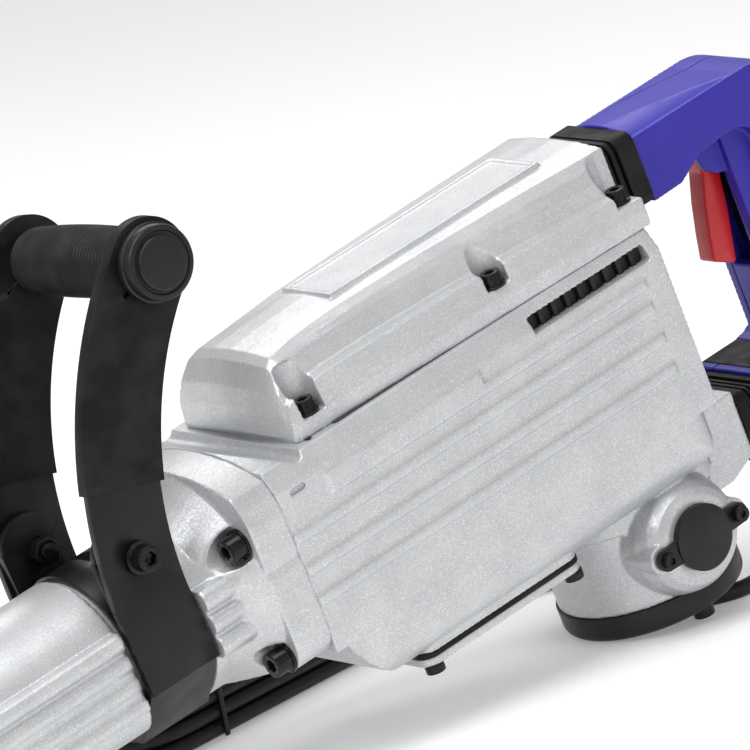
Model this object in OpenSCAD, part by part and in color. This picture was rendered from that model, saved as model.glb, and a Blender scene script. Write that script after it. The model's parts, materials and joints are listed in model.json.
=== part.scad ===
// Electric demolition hammer, 30 mm hex shank class.
// Tool frame: X runs backwards from the nose to the rear handle, Z is up on the
// gear cover side and Y points to the far side. The whole tool is then leaned
// nose down, so that it stands on its nose ring and on the tail cover's rim.

/* [Gear case] */
// Length of the gear case behind the front flange
case_len = 252; // [244:1:260]
// Half the width of the gear case at its raised ribs
case_half = 62; // [61:0.5:64]
// Height of the joint between case and cover above the barrel axis
seam_z = 54; // [52:0.5:56]
// Height of the gear cover's crown above the barrel axis
cover_top = 98; // [95:0.5:100]

/* [Barrel] */
// Radius of the arched barrel
barrel_r = 43; // [42:0.5:43.5]
// Thickness of the front flange
flange_t = 21; // [18:1:22]
// Distance from the gear case to the foremost face
nose_reach = 360; // [350:1:380]
// Width across the flats of the chisel socket
hex_af = 30.4; // [30.1:0.1:30.6]

/* [Motor] */
// Distance of the motor axis behind the front flange
motor_x = 215; // [213:1:216]
// Radius of the motor housing
motor_r = 46.5; // [46:0.5:47]
// Depth of the tail cover's face below the barrel axis
tail_depth = 139.6; // [137:0.2:142]

/* [Side handle] */
// How far the side handle is swung towards the far side, in degrees
swing = 4; // [0:1:5]
// Width of the steel strap
strap_w = 41; // [38:1:43]
// Radius of the arms' backward bend
arm_bend_r = 195; // [190:1:200]

/* [Rear handle] */
// Half the width of the rear handle's arms
arm_half = 27; // [25:0.5:28]
// Rearmost point of the rear handle
handle_rear = 387; // [384:1:390]

/* [Cord] */
// Diameter of the mains cord
cord_d = 8.4; // [8:0.2:8.6]

/* [Hidden] */
$fn = 64;
foot_r = 4;                       // edge radius of the two places it stands on
nose_r = 33;                      // nose ring
rim_r = motor_r + 1.2;            // tail cover
rim_front = motor_x - rim_r;
lean = atan((tail_depth - nose_r) / (rim_front + nose_reach));
floor_drop = foot_r + (tail_depth - foot_r) * cos(lean) - (rim_front + foot_r) * sin(lean);
shift_x = 15.4;                     // puts the middle of the standing outline at x = 0
shift_y = 8.1;                    // the same across, because the side handle is swung

bolt_d = 8;                       // M8 socket screws
cover_bolt_d = 6;                 // and M6 on the cover
flange_screws = [[-50, 28], [50, 28], [-50, -34], [50, -34]];      // y, z
cover_screws_at = [[44, 42, 62.5], [163.5, 48, 68], [248, 47, 69]]; // x, half spacing, seat
drive_z = -98.4;                  // height of the brushes
tail_top = -126;                  // joint between motor housing and tail cover
clear = 0.06;                     // radial running clearance

// ---------- placing and drawing helpers ----------

// Leans the tool and stands it on the floor
module stand() {
    translate([-shift_x, -shift_y, floor_drop]) rotate([0, -lean, 0]) children();
}

// Turns the side handle about the barrel axis
module swung() {
    rotate([-swing, 0, 0]) children();
}

// Extrudes a (y, z) outline along X
module along_x(x0, x1) {
    translate([x0, 0, 0]) rotate([90, 0, 90]) linear_extrude(x1 - x0) children();
}

// Extrudes an (x, z) outline along Y
module along_y(y0, y1) {
    translate([0, y1, 0]) rotate([90, 0, 0]) linear_extrude(y1 - y0) children();
}

// Extrudes an (x, y) outline along Z
module along_z(z0, z1) {
    translate([0, 0, z0]) linear_extrude(z1 - z0) children();
}

module bar_x(x0, x1, r) {
    translate([x0, 0, 0]) rotate([0, 90, 0]) cylinder(h = x1 - x0, r = r);
}

// Turns an outline of (radius, x) points about the X axis
module turned_x(points) {
    rotate([0, 90, 0]) rotate_extrude($fn = 96) polygon(points);
}

module cone_x(x0, x1, r0, r1) {
    translate([x0, 0, 0]) rotate([0, 90, 0]) cylinder(h = x1 - x0, r1 = r0, r2 = r1);
}

module bar_y(y0, y1, r) {
    translate([0, y1, 0]) rotate([90, 0, 0]) cylinder(h = y1 - y0, r = r);
}

module bar_z(z0, z1, r) {
    translate([0, 0, z0]) cylinder(h = z1 - z0, r = r);
}

module both_sides() {
    children();
    mirror([0, 1, 0]) children();
}

// Rectangle with round corners between two corner points
module soft_rect(a, b, r) {
    translate([a[0] + r, a[1]]) square([b[0] - a[0] - 2 * r, b[1] - a[1]]);
    translate([a[0], a[1] + r]) square([b[0] - a[0], b[1] - a[1] - 2 * r]);
    for (x = [a[0] + r, b[0] - r], y = [a[1] + r, b[1] - r]) translate([x, y]) circle(r);
}

// Points along an arc, for outlines
function arc(c, r, from, to, steps = 8) =
    [for (i = [0:steps]) let (a = from + (to - from) * i / steps) c + r * [cos(a), sin(a)]];

// Socket screw of thread d: washer and head above z = 0, shank below
module socket_screw(shank, d = bolt_d) {
    head_r = 0.8125 * d;
    difference() {
        union() {
            bar_z(1.6, 1.6 + d, head_r);
            bar_z(0, 1.61, head_r + 0.2 * d);
            bar_z(-shank, 0.1, d / 2);
        }
        translate([0, 0, d - 3]) cylinder(h = 8, r = 0.46 * d, $fn = 6);
    }
}

// Ball bearing drawn as one ring on a Z axis
module bearing_z(z0, z1, shaft_r, outer_r) {
    difference() {
        bar_z(z0, z1, outer_r);
        bar_z(z0 - 1, z1 + 1, shaft_r + clear);
    }
}

// ---------- barrel ----------

module flange_outline() {
    intersection() {
        union() {
            soft_rect([-case_half, -42], [case_half, 20], 14);
            soft_rect([-case_half, -10], [case_half, 62], 30);
        }
        translate([0, 62 - 150]) circle(r = 150, $fn = 180);
    }
}

module barrel_outline() {
    circle(barrel_r);
    translate([-barrel_r, -19]) square([2 * barrel_r, 19]);
    translate([-27, -35]) square([54, 20]);
    for (s = [-1, 1]) translate([s * (barrel_r - 16), -19]) circle(16);
}

seat_r = 40.6;                    // round seat under the side handle's strap
liner_r = 31.5;                   // outside of the cylinder liner
strap_x0 = -95;
strap_x1 = strap_x0 + strap_w;

module cylinder_case() {
    color("silver") difference() {
        union() {
            along_x(-272, strap_x0 - 1) barrel_outline();
            // lengthwise ribs on the barrel's flanks
            for (z = [15, 4, -7, -18], s = [-1, 1])
                along_x(-262, strap_x0 - 1) translate([s * (barrel_r - 3.6), z]) circle(5.2);
            bar_x(strap_x0 - 2, strap_x1 + 3, seat_r);
            bar_x(strap_x1 + 2, -flange_t, 46);
            intersection() {
                cone_x(-44, -flange_t + 1, 44, 62);
                along_x(-50, -10) flange_outline();
            }
            // ribbed boss between the flange screws
            both_sides() {
                along_x(strap_x1 + 2, -flange_t + 1) translate([40, -18]) square([9, 36]);
                for (z = [12, 0, -12])
                    along_x(strap_x1 + 2, -flange_t + 4) translate([46.5, z]) circle(5.8);
            }
            along_x(-flange_t, 0) flange_outline();
            // front flange for the front cover
            along_x(-272, -258) soft_rect([-48, -42], [48, 48], 14);
        }
        bar_x(-300, -176, 24);
        bar_x(-250, -208, 34);
        bar_x(-176, 1, liner_r);
        for (p = flange_screws) {
            translate([0, p[0], p[1]]) bar_x(-60, -flange_t, 9.4);
            translate([0, p[0], p[1]]) bar_x(-60, 1, bolt_d / 2);
        }
        for (s = [-1, 1], t = [-1, 1]) translate([0, s * 37, 3 + t * 34]) bar_x(-280, -250, 3);
    }
}

// ---------- gear case ----------

side = case_half - 1.5;           // flank between the raised ribs
rear_r = 24;                      // rear lower corner

module case_end_view() {
    polygon([[-side, -43], [-side, 43], [-54.5, seam_z], [54.5, seam_z], [side, 43], [side, -43]]);
}

module sump_end_view() {
    soft_rect([-side, -74], [side, 0], 20);
}

// Side view of the case: the front shelf dips to the cover's collar, the sump swells out behind
module case_side_view() {
    polygon(concat(
        [[0, 62.2], [0, -43]],
        arc([45, -40], 34, 185, 270, 6),
        arc([case_len - rear_r, -74 + rear_r + 4], rear_r, -80, 0),
        [[case_len, seam_z], [25, seam_z], [23.5, 50.5], [20, 50]]));
}

module gear_case_solid() {
    intersection() {
        union() {
            along_x(0, case_len) case_end_view();
            // the front shelf under the flange's arch
            along_x(0, 28.5) intersection() {
                flange_outline();
                translate([-side, -60]) square([2 * side, 130]);
            }
            // the sump, rounded in plan at its front
            intersection() {
                along_z(-74, -30) soft_rect([8, -side], [case_len, side], 22);
                along_x(0, case_len) sump_end_view();
            }
        }
        along_y(-70, 70) case_side_view();
    }
    // pad for the base plate
    along_z(-74, -64.5) soft_rect([50, -52.5], [152, 52.5], 8);
    both_sides() {
        // upper panel, lower behind where the air slot is, and the three long ribs
        along_x(30, 130) panel_rib(41.2, 12.7);
        along_x(30, 237) panel_rib(34.6, 6.1);
        for (z = [22.1, 5.2, -11.2]) along_x(1.8, 236) panel_rib(z, 6.4);
    }
}

// End view of a raised band on the flank, with a sloping upper edge
module panel_rib(top, tall) {
    polygon([
        [side - 2, top - tall], [case_half, top - tall], [case_half, top - 1.9],
        [side, top], [side - 2, top]]);
}

module motor_housing_solid() {
    translate([motor_x, 0, 0]) {
        bar_z(tail_top, -38, motor_r);
        bar_z(-84, -60, motor_r + 3);
        both_sides() translate([0, 0, drive_z]) {
            rotate([-90, 0, 0]) rotate_extrude($fn = 96)
                polygon([[0, 20], [33, 20], [30.5, 46], [28, 53], [24.5, 58], [21, 60], [0, 60]]);
            for (s = [-1, 1]) translate([s * 24, 0, 0]) bar_y(20, 59, 7.6);
        }
    }
}

module gear_case() {
    color("silver") difference() {
        union() {
            gear_case_solid();
            motor_housing_solid();
        }
        // room for the crank, the gears and the fan, with bosses left for the cover's screws
        translate([12, -53, -34]) cube([case_len - 20, 106, 79]);
        translate([34, -53, -34]) cube([case_len - 42, 106, 81]);
        difference() {
            translate([34, -50.5, 40]) cube([case_len - 42, 101, 30]);
            for (p = cover_screws_at, s = [-1, 1]) translate([p[0], s * p[1], 0]) {
                bar_z(46.8, 70, 7);
                // web that joins the boss to the flank
                translate([-7, min(0, s * 9), 46.8]) cube([14, 9, 24]);
            }
        }
        translate([50, -50, -62]) cube([108, 100, 40]);
        translate([60, -40, -80]) cube([82, 80, 30]);
        for (p = base_screws_at) translate([p[0], p[1], 0]) bar_z(-80, -66, 3);
        bar_x(-1, 20, liner_r + clear);
        translate([motor_x, 0, 0]) bar_z(-140, -41, 42);
        // the brush bosses end where the tail cover begins
        translate([motor_x, 0, 0]) bar_z(-140, tail_top, 70);
        translate([motor_x, 0, 0]) bar_z(-42, 20, 33.5);
        both_sides() {
            translate([motor_x, 0, drive_z]) bar_y(30, 61, 14);
            // air slot with its fins left standing
            difference() {
                translate([168, 48, 40]) cube([77, 20, 8.5]);
                for (i = [1:8]) translate([168 + i * 8.6, 48, 38]) cube([2, 7, 12]);
            }
            for (s = [-1, 1]) translate([motor_x + s * 24, 0, drive_z]) bar_y(48, 62, 2);
        }
        for (p = flange_screws) translate([0, p[0], p[1]]) bar_x(-1, 11.5, bolt_d / 2);
        // small window in the front shelf
        translate([8.5, -64, 38]) cube([9.5, 6, 3.2]);
        for (p = cover_screws_at, s = [-1, 1])
            translate([p[0], s * p[1], 0]) bar_z(46, 70, cover_bolt_d / 2);
    }
}

// ---------- gear cover ----------

// Stations along the cover: x, seam half width, bulge [y, z], shoulder [y, z], crown edge [y, z]
cover_stations = [
    [25, 46, [46.5, 56], [44, 56.7], [36, 57]],
    [27, 47.5, [47.5, 66], [43.5, 68], [36, 69]],
    [30, 48.3, [47, 72], [42, 77], [36, 79]],
    [36, 48.5, [46.5, 75], [39, 85], [32, 89]],
    [42, 48.5, [46, 76], [37, 87], [30, 92]],
    [60, 49, [46, 77], [35, 89], [28, 94]],
    [92, 50, [47.5, 77.5], [36, 89.5], [29, 96]],
    [142, 52, [50.5, 77.5], [39, 89], [31, 96.5]],
    [200, 54, [53.5, 76], [44, 87], [34, 96]],
    [256, 55.5, [55.5, 74], [47, 84], [38, 95]]
];
plate_x = [92, 230];              // blank raised panel on the crown

// Cross-section of the cover at station s, drawn inwards by t. The front bows forwards in plan.
function cover_ring(s, t) =
    let (
        w = s[1] - t, b = s[2] - [t, t * 0.3], h = s[3] - [t, t * 0.7], c = s[4] - [t * 0.6, t],
        top = min(cover_top, s[4][1] + 2.5) - t,
        bow = max(0, 4 - (s[0] - 25) / 6),
        near = [[w, seam_z - (t > 0 ? 1 : 0)], [w + 0.6, seam_z + (b[1] - seam_z) * 0.4], b,
                b + [(h[0] - b[0]) * 0.55, (h[1] - b[1]) * 0.2], h,
                (h + c) / 2 + [0.6, 0.4], c, [c[0] * 0.5, top - 0.6], [0, top]],
        half = [for (p = near) [s[0] + bow * pow(p[0] / 46, 2), p[0], p[1]]]
    )
    concat(half, [for (i = [len(near) - 2:-1:0]) [half[i][0], -half[i][1], half[i][2]]]);

module cover_loft(t) {
    rings = [for (s = cover_stations) cover_ring(s, t)];
    n = len(rings[0]);
    last = len(rings) - 1;
    polyhedron(
        points = [for (r = rings, p = r) p],
        faces = concat(
            [[for (i = [0:n - 1]) i]],
            [[for (i = [n - 1:-1:0]) last * n + i]],
            [for (k = [0:last - 1], i = [0:n - 1])
                [k * n + i, (k + 1) * n + i, (k + 1) * n + (i + 1) % n, k * n + (i + 1) % n]]));
}

module gear_cover() {
    color("silver") difference() {
        union() {
            cover_loft(0);
            // frame of the blank panel
            difference() {
                translate([plate_x[0], -20, 90]) cube([plate_x[1] - plate_x[0], 40, 9.3]);
                translate([plate_x[0] + 3, -17, 98.4]) cube([plate_x[1] - plate_x[0] - 6, 34, 5]);
            }
        }
        difference() {
            translate([3, 0, -4]) cover_loft(5);
            translate([240, -70, 0]) cube([40, 140, 120]);
            for (p = cover_screws_at, s = [-1, 1]) translate([p[0], s * p[1], 0]) bar_z(40, 90, 14);
        }
        for (p = cover_screws_at, s = [-1, 1]) translate([p[0], s * p[1], 0]) {
            bar_z(40, 80, cover_bolt_d / 2);
            translate([0, 0, p[2]]) {
                // flared pocket, open to the flank
                cylinder(h = 26, r1 = 6.8, r2 = 9.2);
                translate([-6.8, s * 6 - 6, 0]) cube([13.6, 12, 30]);
            }
        }
        // the rear pockets run out through the cover's end
        for (s = [-1, 1]) translate([cover_screws_at[2][0], s * cover_screws_at[2][1], cover_screws_at[2][2]])
            translate([0, -9.2, 0]) cube([20, 18.4, 30]);
    }
}

// ---------- plates, tail and small covers ----------

base_screws_at = [[55, -46.5], [55, 46.5], [147, -46.5], [147, 46.5]];     // x, y

module base_outline() {
    soft_rect([49, -51.5], [153, 51.5], 8);
}

module base_gasket() {
    color([0.05, 0.05, 0.05]) difference() {
        along_z(-77, -74) base_outline();
        along_z(-78, -73) soft_rect([60, -40], [142, 40], 4);
        for (p = base_screws_at) translate([p[0], p[1], 0]) bar_z(-78, -73, 3);
    }
}

module base_plate() {
    color("silver") difference() {
        along_z(-81, -77) base_outline();
        for (p = base_screws_at) translate([p[0], p[1], 0]) bar_z(-82, -76, 3);
    }
}

module base_screws() {
    color([0.1, 0.1, 0.1]) for (p = base_screws_at)
        translate([p[0], p[1], -81]) mirror([0, 0, 1]) {
            bar_z(0, 4.5, 5);
            bar_z(-12, 0.1, 3);
        }
}

module tail_cover() {
    color([0.12, 0.12, 0.13]) translate([motor_x, 0, 0]) difference() {
        rotate_extrude($fn = 96) polygon(concat(
            [[0, -tail_depth]],
            arc([rim_r - foot_r, -tail_depth + foot_r], foot_r, -90, 0, 6),
            [[rim_r, tail_top], [motor_r - 5, tail_top], [motor_r - 5, -tail_depth + 5],
             [0, -tail_depth + 5]]));
        for (a = [-90, 0, 90]) rotate([0, 0, a]) translate([38, 0, 0]) bar_z(-150, -120, 2.6);
    }
}

module tail_screws() {
    color([0.1, 0.1, 0.1]) translate([motor_x, 0, -tail_depth]) for (a = [-90, 0, 90])
        rotate([0, 0, a]) translate([38, 0, 0]) {
            bar_z(-5.5, 0, 5.6);
            bar_z(-0.1, 13, 2.6);
        }
}

module brush_covers() {
    color([0.08, 0.08, 0.08]) both_sides() translate([motor_x, 0, drive_z]) {
        bar_y(60, 64, 16.8);
        bar_y(52, 60.1, 13.6);
        for (s = [-1, 1]) difference() {
            union() {
                translate([s * 24, 0, 0]) bar_y(60, 62.6, 5.6);
                along_y(60, 62.6) polygon([[s * 12, -6], [s * 24, -5.6], [s * 24, 5.6], [s * 12, 6]]);
            }
            translate([s * 24, 0, 0]) bar_y(59, 64, 2);
        }
    }
}

module brush_cover_screws() {
    color([0.1, 0.1, 0.1]) both_sides() translate([motor_x, 0, drive_z]) for (s = [-1, 1])
        translate([s * 24, 0, 0]) {
            difference() {
                bar_y(62.6, 66, 4);
                translate([0, 67, 0]) rotate([90, 0, 0]) cylinder(h = 2.6, r = 2, $fn = 6);
            }
            bar_y(50, 62.7, 2);
        }
}

module brush_holders() {
    color("darkgoldenrod") both_sides() translate([motor_x, 0, drive_z]) difference() {
        bar_y(22, 51.5, 9);
        translate([-4.6, 10, -6.6]) cube([9.2, 40, 13.2]);
    }
}

module carbon_brushes() {
    color([0.2, 0.2, 0.2]) both_sides() translate([motor_x, 0, drive_z])
        translate([-4.4, 16.2, -6.4]) cube([8.8, 24, 12.8]);
}

module case_screws() {
    color([0.1, 0.1, 0.1]) for (p = flange_screws)
        translate([-flange_t, p[0], p[1]]) rotate([0, -90, 0]) socket_screw(flange_t + 11);
}

module cover_screws() {
    color([0.1, 0.1, 0.1]) for (p = cover_screws_at, s = [-1, 1])
        translate([p[0], s * p[1], p[2]]) socket_screw(p[2] - 47, cover_bolt_d);
}

module front_screws() {
    color([0.1, 0.1, 0.1]) for (s = [-1, 1], t = [-1, 1])
        translate([-284, s * 37, 3 + t * 34]) rotate([0, -90, 0]) {
            bar_z(0, 6, 5);
            bar_z(-30, 0.1, 3);
        }
}

// ---------- nose and tool retainer ----------

pin_x = -318;
pin_z = 19;
lever_len = 26;

module front_cover() {
    color("silver") difference() {
        union() {
            along_x(-284, -272) soft_rect([-48, -42], [48, 48], 14);
            turned_x([[20, -334], [32, -334], [33, -330], [42, -283], [20, -283]]);
            // lug around the retainer pin
            translate([pin_x, 0, pin_z]) bar_y(-36, 36, 10);
        }
        bar_x(-340, -250, 24);
        translate([pin_x, 0, pin_z]) bar_y(-50, 50, 6 + clear);
        for (s = [-1, 1], t = [-1, 1]) translate([0, s * 37, 3 + t * 34]) bar_x(-290, -250, 3);
    }
}

module nose_ring() {
    color([0.08, 0.08, 0.08]) {
        turned_x(concat(
            [[19, -nose_reach], [nose_r - foot_r, -nose_reach]],
            arc([nose_r - foot_r, -nose_reach + foot_r], foot_r, -90, 0, 6),
            [[nose_r, -334], [19, -334]]));
    }
}

module tool_sleeve() {
    color([0.55, 0.55, 0.57]) difference() {
        union() {
            bar_x(-334, -252, 24 - 0.04);
            bar_x(-nose_reach + 6, -333, 19 - 0.04);
        }
        rotate([30, 0, 0]) rotate([0, 90, 0]) translate([0, 0, -400])
            cylinder(h = 148 + 0.01, r = hex_af / 2 / cos(30), $fn = 6);
        bar_x(-260, -240, 12);
        translate([pin_x, 0, pin_z]) bar_y(-50, 50, 6 + clear);
    }
}

module retainer_pin() {
    color([0.6, 0.6, 0.62]) translate([pin_x, 0, pin_z]) difference() {
        bar_y(-50, 38, 6);
        translate([-8, -18, 2]) cube([16, 36, 8]);
    }
}

module retainer_lever() {
    color([0.1, 0.1, 0.1]) translate([pin_x, 0, pin_z]) difference() {
        union() {
            bar_y(-50, -37.5, 11);
            along_y(-50, -44.5) polygon([[0, -9], [lever_len, -6], [lever_len, 6], [0, 9]]);
            translate([lever_len, 0, 0]) bar_y(-53, -44.5, 6);
        }
        bar_y(-60, -30, 6);
    }
}

// ---------- motor and gears ----------

idler_x = 156.5;
crank_x = 98;

// Spur gear outline with straight-flanked teeth
module gear_outline(teeth, pitch_r, m) {
    circle(pitch_r - 1.15 * m);
    p = 360 / teeth;
    for (i = [0:teeth - 1]) rotate(i * p) polygon([
        [(pitch_r - 1.3 * m) * cos(0.3 * p), -(pitch_r - 1.3 * m) * sin(0.29 * p)],
        [pitch_r + 0.8 * m, -(pitch_r + 0.8 * m) * sin(0.1 * p)],
        [pitch_r + 0.8 * m, (pitch_r + 0.8 * m) * sin(0.1 * p)],
        [(pitch_r - 1.3 * m) * cos(0.3 * p), (pitch_r - 1.3 * m) * sin(0.29 * p)]]);
}

gear_m = 1.8;
motor_teeth = 10;
idler_teeth = 55;
idler_pinion_teeth = 15;
crank_teeth = 50;

module stator() {
    color([0.35, 0.35, 0.37]) translate([motor_x, 0, 0]) difference() {
        bar_z(-85, -42, 41.9);
        bar_z(-86, -41, 27.5);
    }
}

module armature() {
    color([0.5, 0.45, 0.4]) translate([motor_x, 0, 0]) {
        bar_z(-82, -45, 26.8);
        bar_z(-124, 38, 5);
        along_z(36, 48) rotate(180 + 180 / motor_teeth)
            gear_outline(motor_teeth, motor_teeth * gear_m / 2, gear_m);
    }
}

module commutator() {
    color("peru") translate([motor_x, 0, 0]) difference() {
        bar_z(-110, -88, 16);
        bar_z(-111, -87, 5);
    }
}

module cooling_fan() {
    color([0.1, 0.1, 0.1]) translate([motor_x, 0, 0]) difference() {
        union() {
            bar_z(-32, -29, 32);
            bar_z(-32, -12, 12);
            for (i = [0:11]) rotate(i * 30) translate([11, -1, -30]) cube([21, 2, 15]);
        }
        bar_z(-33, -11, 5);
    }
}

module idler_gear() {
    color([0.6, 0.6, 0.62]) translate([idler_x, 0, 0]) {
        along_z(38, 46) gear_outline(idler_teeth, idler_teeth * gear_m / 2, gear_m);
        along_z(20, 39) gear_outline(idler_pinion_teeth, idler_pinion_teeth * gear_m / 2, gear_m);
        bar_z(4, 62, 6);
    }
}

crank_throw = 18;
crank_shaft_r = 7.3;

// Plate under the gears, carrying the motor's upper bearing
module motor_plate() {
    color([0.6, 0.6, 0.6]) difference() {
        along_z(4, 16) soft_rect([130, -52.9], [243.9, 52.9], 6);
        translate([motor_x, 0, 0]) bar_z(0, 20, 15);
        translate([idler_x, 0, 0]) bar_z(0, 20, 14);
    }
}

// Plate over the gears, carrying the upper ends of the crank and idler shafts
module gear_plate() {
    color([0.6, 0.6, 0.6]) difference() {
        along_z(49, 59) soft_rect([56, -44], [176, 44], 10);
        translate([crank_x, 0, 0]) bar_z(40, 80, 18);
        translate([idler_x, 0, 0]) bar_z(40, 80, 14);
        for (p = cover_screws_at, s = [-1, 1]) translate([p[0], s * p[1], 0]) bar_z(40, 80, 14.8);
    }
}

module crank_gear() {
    color([0.6, 0.6, 0.62]) translate([crank_x, 0, 0]) {
        along_z(22, 34) gear_outline(crank_teeth, crank_teeth * gear_m / 2, gear_m);
        bar_z(12, 23, 28);
        bar_z(33, 60, crank_shaft_r);
        translate([crank_throw, 0, 0]) bar_z(7, 13, 7);
    }
}

module ball_bearings() {
    color("lightgray") {
        translate([motor_x, 0, 0]) {
            bearing_z(6, 16, 5, 15);
            bearing_z(-123, -114, 5, 13);
        }
        translate([idler_x, 0, 0]) {
            bearing_z(4, 14, 6, 14);
            bearing_z(50, 59, 6, 14);
        }
        translate([crank_x, 0, 0]) bearing_z(49, 58, crank_shaft_r, 18);
    }
}

// ---------- hammer mechanism ----------

wrist_x = 22;                     // piston pin at rest
rod_len = crank_x + crank_throw - wrist_x;

module connecting_rod() {
    color([0.65, 0.65, 0.66]) difference() {
        union() {
            translate([wrist_x, 0, 0]) bar_z(-8, 8, 11);
            translate([wrist_x + rod_len, 0, 0]) bar_z(-6, 6.5, 13);
            along_z(-5, 5) polygon([
                [wrist_x, -7], [wrist_x + rod_len, -9], [wrist_x + rod_len, 9], [wrist_x, 7]]);
        }
        translate([wrist_x, 0, 0]) bar_z(-10, 10, 5 + clear);
        translate([wrist_x + rod_len, 0, 0]) bar_z(-10, 10, 7 + clear);
    }
}

module piston() {
    color([0.75, 0.75, 0.76]) difference() {
        bar_x(-14, 40, 28 - clear);
        translate([6, -30, -9]) cube([40, 60, 18]);
        translate([wrist_x, 0, 0]) bar_z(-29, 29, 5);
    }
}

module piston_pin() {
    color([0.6, 0.6, 0.62]) translate([wrist_x, 0, 0]) bar_z(-26, 26, 5);
}

module cylinder_liner() {
    color([0.6, 0.6, 0.6]) difference() {
        bar_x(-175, 4, liner_r);
        bar_x(-180, 10, 28);
    }
}

module striker() {
    color([0.55, 0.55, 0.56]) {
        bar_x(-110, -70, 28 - clear);
        bar_x(-130, -109, 16);
    }
}

module impact_bolt() {
    color([0.5, 0.5, 0.52]) {
        bar_x(-205, -160, 24 - clear - 0.04);
        bar_x(-215, -204, 11);
    }
}

// ---------- rear handle ----------

grip_half = 18;
grip_x = 336;
corner_r = 28;                    // upper rear corner
low_top = -58;                    // top and bottom of the lower arm
low_bottom = -96;

module handle_arms_outline() {
    polygon(concat(
        [[281, 51], [281, 86], [340, 86]],
        arc([handle_rear - corner_r, 86 - corner_r], corner_r, 90, 8),
        arc([handle_rear - 45, -52], 44, 0, -90),
        [[303, low_bottom], [303, low_top]],
        arc([332, -40], 18, -90, 0, 5),
        arc([338, 45], 16, 0, 90, 5),
        [[316, 60], [300, 51.5]]));
}

module grip_outline() {
    polygon(concat(
        [[grip_x, 70]], arc([handle_rear - corner_r, 86 - corner_r], corner_r, 45, 8),
        arc([handle_rear - 45, -52], 44, 0, -45), [[grip_x, -80]]));
}

module handle_solid() {
    along_y(-arm_half, arm_half) handle_arms_outline();
    along_y(-grip_half, grip_half) grip_outline();
    // ears on both sides of the trigger's top
    both_sides() along_y(10, 14) polygon([[320, 62], [338, 62], [338, 38], [330, 40], [323, 46]]);
    intersection() {
        along_y(-arm_half, arm_half)
            polygon([[281, 80], [281, 91.5], [305, 90.5], [330, 88.5], [352, 85.9], [352, 80]]);
        along_x(280, 390) translate([0, 91.6 - 62]) circle(r = 62, $fn = 180);
    }
}

module handle_inside() {
    along_y(-arm_half + 5, arm_half - 5) polygon([
        [275, 56], [275, 80], [340, 80], [365, 60], [330, 66], [300, 57]]);
    along_y(-grip_half + 4, grip_half - 4) polygon([
        [342, 64], [370, 62], [380, 40], [378, -50], [352, -88], [342, -70]]);
    along_y(-10, 10) polygon([[328, 56], [345, 56], [345, -16], [328, -16]]);
    arm_wrap_ring();
    guard_seat();
    translate([0, 0, 76]) along_x(270, 300) circle(3);
}

split_y = 12;                     // joint between handle shell and cover
wrap_x = [308, 332];              // rubber wrap round the lower arm

module trigger_axis() {
    translate([330, 0, 48]) children();
}

module guard_seat() {
    translate([330, 0, low_bottom]) rotate([0, lean, 0]) bar_z(-12, 6, 10);
}

module arm_wrap_ring() {
    difference() {
        along_x(wrap_x[0], wrap_x[1]) translate([-arm_half - 1, low_bottom - 1])
            square([2 * arm_half + 2, low_top - low_bottom + 2]);
        along_x(wrap_x[0] - 1, wrap_x[1] + 1) translate([-arm_half + 2, low_bottom + 2])
            square([2 * arm_half - 4, low_top - low_bottom - 4]);
    }
}

module arm_wrap() {
    color([0.08, 0.08, 0.08]) difference() {
        intersection() {
            arm_wrap_ring();
            along_x(wrap_x[0], wrap_x[1]) soft_rect([-arm_half, low_bottom], [arm_half, low_top], 2);
        }
        guard_seat();
    }
}

module handle_shell() {
    color([0.24, 0.22, 0.72]) difference() {
        handle_solid();
        handle_inside();
        translate([260, split_y, -120]) cube([150, 60, 240]);
        trigger_axis() bar_y(-12.5, 12.5, 2);
    }
}

module handle_cover() {
    color([0.24, 0.22, 0.72]) difference() {
        intersection() {
            handle_solid();
            translate([260, split_y, -120]) cube([150, 60, 240]);
        }
        handle_inside();
        trigger_axis() bar_y(-12.5, 12.5, 2);
    }
}

module upper_boot() {
    color([0.1, 0.1, 0.1]) difference() {
        union() {
            along_x(270, 281) soft_rect([-28, 51], [28, 90], 6);
            for (i = [0:2]) along_x(257 + i * 4.4, 257 + i * 4.4 + 2.6) soft_rect([-27, 53], [27, 90], 6);
            along_x(256, 271) soft_rect([-24, 56], [24, 87], 6);
        }
        along_x(250, 290) soft_rect([-10, 62], [10, 78], 4);
    }
}

module lower_bracket() {
    color("silver") difference() {
        along_y(-arm_half, arm_half) polygon([
            [240, -66], [252, -57], [283, -57], [283, -92], [266, -99], [246, -99], [238, -80]]);
        translate([motor_x, 0, 0]) bar_z(-130, -30, 42);
        translate([0, 0, -76]) bar_x(262, 300, 5);
        intersection() {
            gear_case_solid();
            translate([200, -70, -110]) cube([100, 140, 120]);
        }
        translate([motor_x, 0, 0]) bar_z(-130, -30, motor_r);
        translate([motor_x, 0, 0]) bar_z(-84, -60, motor_r + 3);
    }
}

module lower_boot() {
    color([0.1, 0.1, 0.1]) difference() {
        union() {
            along_x(283, 289) soft_rect([-28, -97], [28, -60], 5);
            for (i = [0:2]) along_x(290 + i * 3, 291.6 + i * 3) soft_rect([-27, -96], [27, -61], 5);
            along_x(288, 303) soft_rect([-25, -94], [25, -63], 5);
            along_x(299, 303) soft_rect([-28, -97], [28, -60], 5);
        }
        translate([0, 0, -76]) bar_x(280, 310, 5);
    }
}

module handle_bolts() {
    color([0.5, 0.5, 0.5]) {
        translate([0, 0, -76]) bar_x(264.7, 303, 5);
        translate([0, 0, 70]) bar_x(256.2, 275, 4);
    }
}

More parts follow.
